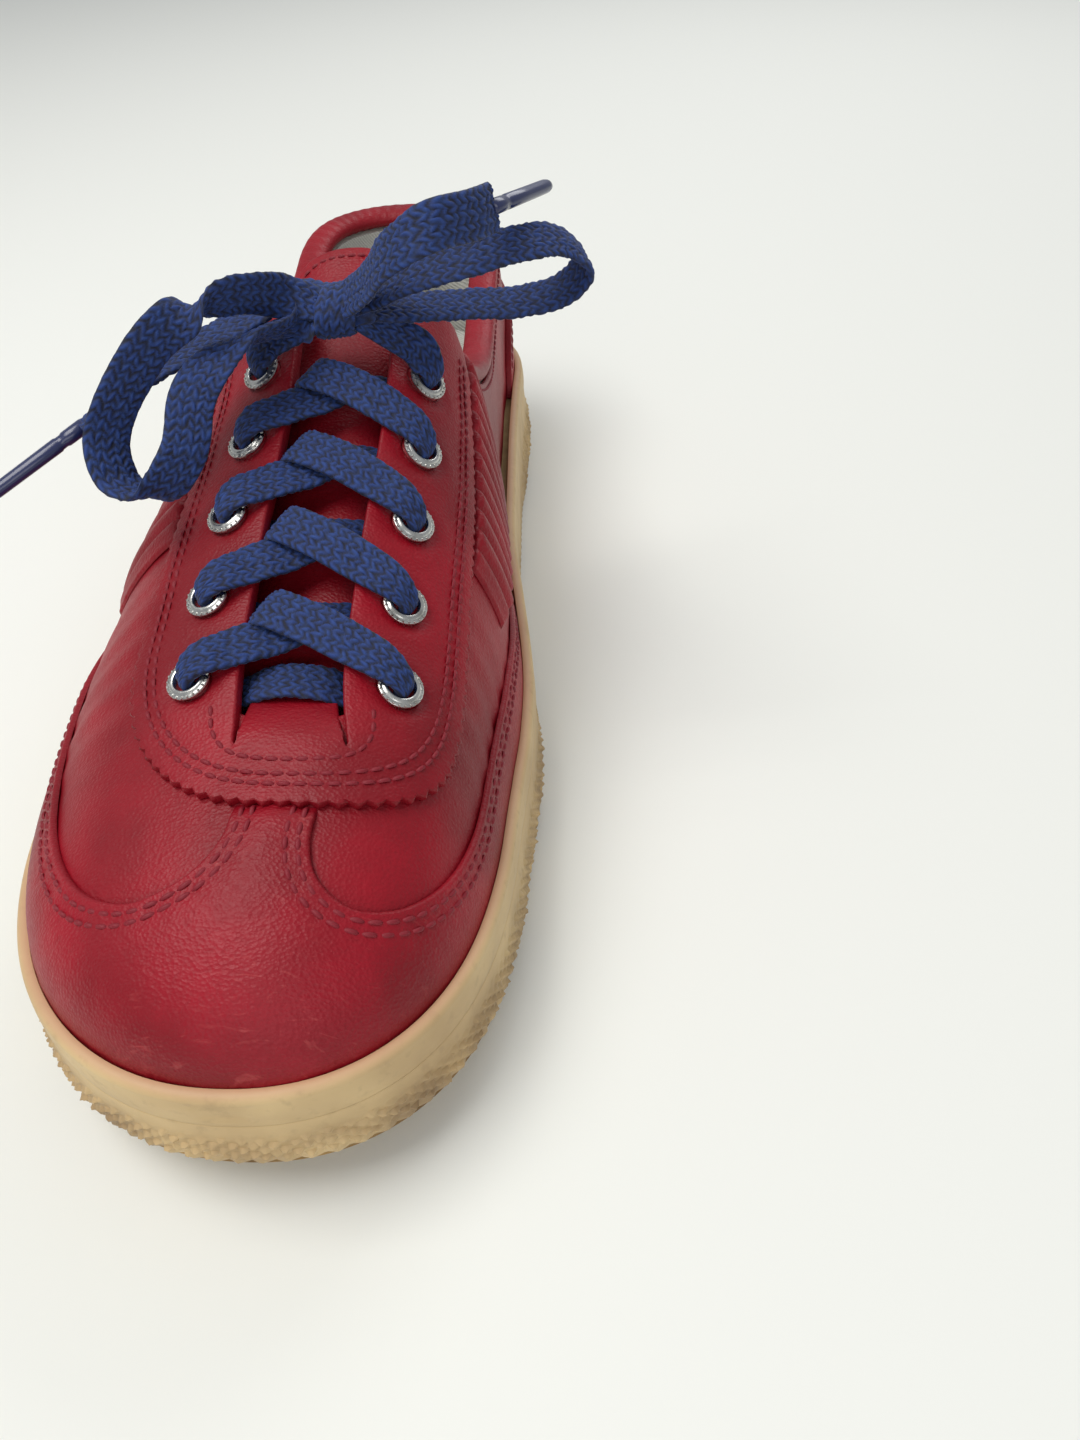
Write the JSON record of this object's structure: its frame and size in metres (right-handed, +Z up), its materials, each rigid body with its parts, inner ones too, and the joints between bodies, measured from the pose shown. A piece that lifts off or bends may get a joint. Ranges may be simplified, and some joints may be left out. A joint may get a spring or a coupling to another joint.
{
  "type": "lace-up trainer",
  "caption": "Low lace-up leather trainer on a moulded cup sole, with a pinked lace facing, flat laces tied in a bow and a sewn-in tongue; a right shoe.",
  "frame": {"origin": "on the floor under the middle of the shoe, without its free lace ends", "axes": "+Z up, -Y towards the toe, +X towards the medial side"},
  "size_m": [0.114, 0.2816, 0.1212],
  "materials": {
    "leather": "satin",
    "sole": "matte",
    "tread": "matte",
    "textile": "matte",
    "foam": "matte",
    "board": "matte",
    "stiffener": "matte",
    "shank_steel": "brushed",
    "nickel": "satin",
    "lace": "matte",
    "aglet": "gloss"
  },
  "bodies": {
    "shoe": {"outsole": "tread", "midsole": "sole", "shank": "shank_steel", "insole_board": "board", "footbed_foam": "foam", "footbed_cover": "textile", "toe_vamp": "leather", "toe_puff": "stiffener", "vamp_lining": "textile", "quarter_medial": "leather", "quarter_lateral": "leather", "quarter_lining": "textile", "collar_foam": "foam", "heel_stiffener": "stiffener", "heel_overlay": "leather", "heel_tab": "leather", "ribbed_panel_medial": "leather", "ribbed_panel_lateral": "leather", "lace_facing": "leather", "collar_binding": "leather", "lace": "lace", "bow_knot": "lace", "bow_loop_medial": "lace", "bow_loop_lateral": "lace", "lace_end_medial": "lace", "lace_end_lateral": "lace", "aglet_medial": "aglet", "aglet_lateral": "aglet", "eyelet_medial_1": "nickel", "eyelet_medial_2": "nickel", "eyelet_medial_3": "nickel", "eyelet_medial_4": "nickel", "eyelet_medial_5": "nickel", "eyelet_lateral_1": "nickel", "eyelet_lateral_2": "nickel", "eyelet_lateral_3": "nickel", "eyelet_lateral_4": "nickel", "eyelet_lateral_5": "nickel"},
    "tongue": {"tongue_leather": "leather", "tongue_foam": "foam", "tongue_lining": "textile"}
  },
  "joints": [
    {"name": "tongue_swing", "type": "hinge", "parent": "shoe", "child": "tongue", "pos_m": [0.0124, -0.0831, 0.0506], "axis": [-1, 0, 0], "range_deg": [0, 9], "stiffness_Nm_per_rad": 0.25}
  ]
}
